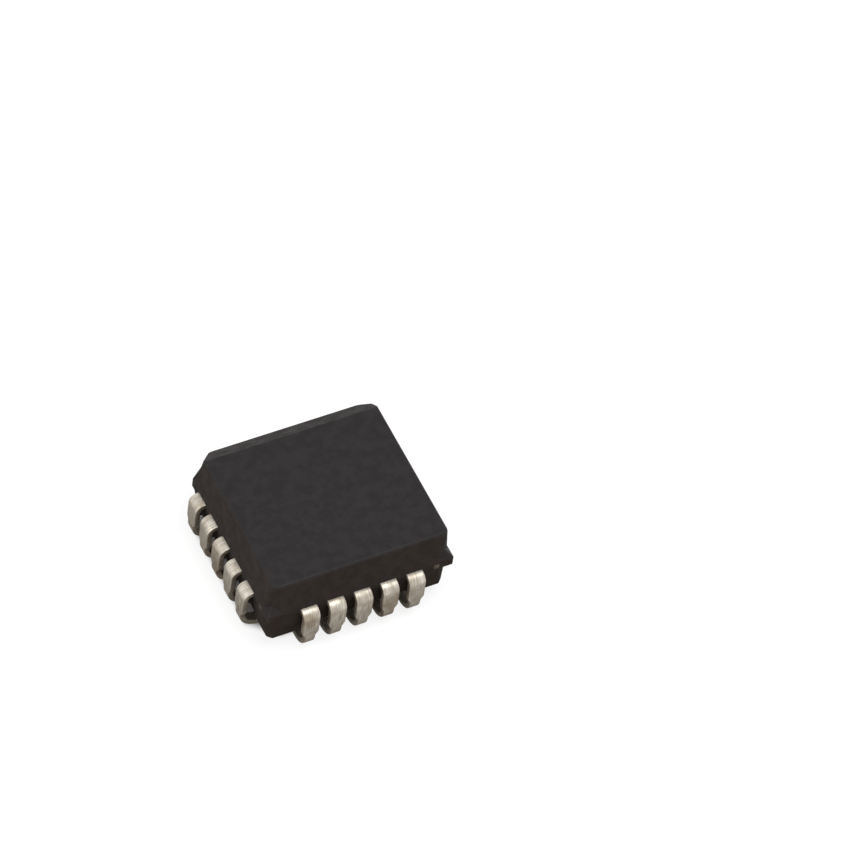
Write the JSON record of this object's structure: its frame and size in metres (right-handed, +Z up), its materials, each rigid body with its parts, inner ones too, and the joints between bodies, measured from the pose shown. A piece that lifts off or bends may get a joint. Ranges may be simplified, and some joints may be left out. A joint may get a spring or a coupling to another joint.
{
  "type": "plastic leaded chip carrier",
  "caption": "Square black plastic chip carrier with J-shaped leads along every side, a bevelled top edge and a chamfered index corner, for a socket or a circuit board.",
  "frame": {"origin": "centre of the seating plane that the lead feet stand on", "axes": "+Z up through the top face, +Y towards the bevelled side that holds lead 1"},
  "size_m": [0.0098, 0.0098, 0.0044],
  "materials": {
    "moulding_compound": "matte, finely spark-eroded",
    "tin_plate": "satin tin plating",
    "lead_frame": "bare rolled copper alloy",
    "die_adhesive": "silver-filled epoxy",
    "silicon": "polished",
    "bond_wire": "drawn gold"
  },
  "bodies": {
    "root": {"body": "moulding_compound", "die_paddle": "lead_frame", "die_attach": "die_adhesive", "die": "silicon", "lead_01": "tin_plate", "lead_02": "tin_plate", "lead_03": "tin_plate", "lead_04": "tin_plate", "lead_05": "tin_plate", "lead_06": "tin_plate", "lead_07": "tin_plate", "lead_08": "tin_plate", "lead_09": "tin_plate", "lead_10": "tin_plate", "lead_11": "tin_plate", "lead_12": "tin_plate", "lead_13": "tin_plate", "lead_14": "tin_plate", "lead_15": "tin_plate", "lead_16": "tin_plate", "lead_17": "tin_plate", "lead_18": "tin_plate", "lead_19": "tin_plate", "lead_20": "tin_plate", "wire_01": "bond_wire", "wire_02": "bond_wire", "wire_03": "bond_wire", "wire_04": "bond_wire", "wire_05": "bond_wire", "wire_06": "bond_wire", "wire_07": "bond_wire", "wire_08": "bond_wire", "wire_09": "bond_wire", "wire_10": "bond_wire", "wire_11": "bond_wire", "wire_12": "bond_wire", "wire_13": "bond_wire", "wire_14": "bond_wire", "wire_15": "bond_wire", "wire_16": "bond_wire", "wire_17": "bond_wire", "wire_18": "bond_wire", "wire_19": "bond_wire", "wire_20": "bond_wire"}
  },
  "joints": []
}
